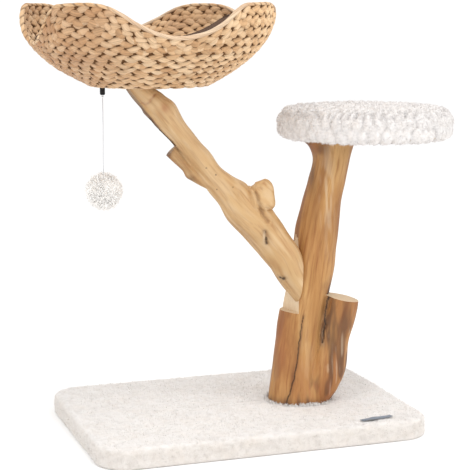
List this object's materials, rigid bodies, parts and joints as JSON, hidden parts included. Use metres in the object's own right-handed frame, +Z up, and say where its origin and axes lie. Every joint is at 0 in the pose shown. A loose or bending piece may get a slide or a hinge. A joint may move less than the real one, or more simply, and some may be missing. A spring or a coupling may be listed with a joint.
{
  "type": "cat tree",
  "caption": "Natural trunk and branch on a plush board, carrying a round plush perch, a woven bowl with a cushion, and a swinging pompom on a string.",
  "frame": {"origin": "middle of the board's underside, on the floor", "axes": "+Z up; +X along the board's long side, from the bowl towards the perch; -Y is the side that faces a viewer"},
  "size_m": [0.7675, 0.4209, 0.7557],
  "materials": {
    "base_plush": "short curly off-white pile",
    "perch_plush": "deep curly off-white pile",
    "particle_board": "raw pressed board",
    "felt": "pressed felt",
    "tag_cloth": "plain woven ribbon",
    "trunk_wood": "barked, sanded, clear matt lacquer",
    "branch_wood": "barked, sanded, clear matt lacquer",
    "steel": "zinc plated",
    "plywood": "raw plywood",
    "foam": "open foam",
    "straw_weave": "dried water hyacinth, matt with a soft sheen",
    "straw_band": "flat wrapped water hyacinth",
    "cushion_cloth": "taupe brushed cloth",
    "black_plastic": "satin moulded",
    "white_cord": "thin white string",
    "pompom_fluff": "long off-white fluff"
  },
  "bodies": {
    "stand": {"base_cover": "base_plush", "base_board": "particle_board", "base_underlay": "felt", "sewn_tag": "tag_cloth", "trunk": "trunk_wood", "branch": "branch_wood", "trunk_bolt_1": "steel", "trunk_bolt_2": "steel", "trunk_bolt_3": "steel", "trunk_washer_1": "steel", "trunk_washer_2": "steel", "trunk_washer_3": "steel", "branch_screw_1": "steel", "branch_screw_2": "steel", "perch_cover": "perch_plush", "perch_plywood": "plywood", "perch_foam": "foam", "perch_lining": "felt", "perch_screw_1": "steel", "perch_screw_2": "steel", "perch_screw_3": "steel", "bowl_weave": "straw_weave", "rim_band": "straw_band", "wire_frame": "steel", "bowl_disc": "plywood", "bowl_screw_1": "steel", "bowl_screw_2": "steel", "bowl_screw_3": "steel", "toy_ferrule": "black_plastic", "ferrule_button": "black_plastic"},
    "cushion": {"bowl_cushion": "cushion_cloth"},
    "knot": {"cord_knot": "white_cord"},
    "toy": {"toy_cord": "white_cord", "pompom": "pompom_fluff"}
  },
  "joints": [
    {"name": "cushion_lift", "type": "slide", "parent": "stand", "child": "cushion", "axis": [0, 0, 1], "range_m": [0, 0.25]},
    {"name": "toy_swing_along", "type": "hinge", "parent": "stand", "child": "knot", "pos_m": [-0.2322, 0.0271, 0.5947], "axis": [0, 1, 0], "range_deg": [-25, 25]},
    {"name": "toy_swing_across", "type": "hinge", "parent": "knot", "child": "toy", "pos_m": [-0.2322, 0.0271, 0.5947], "axis": [1, 0, 0], "range_deg": [-25, 25]}
  ]
}
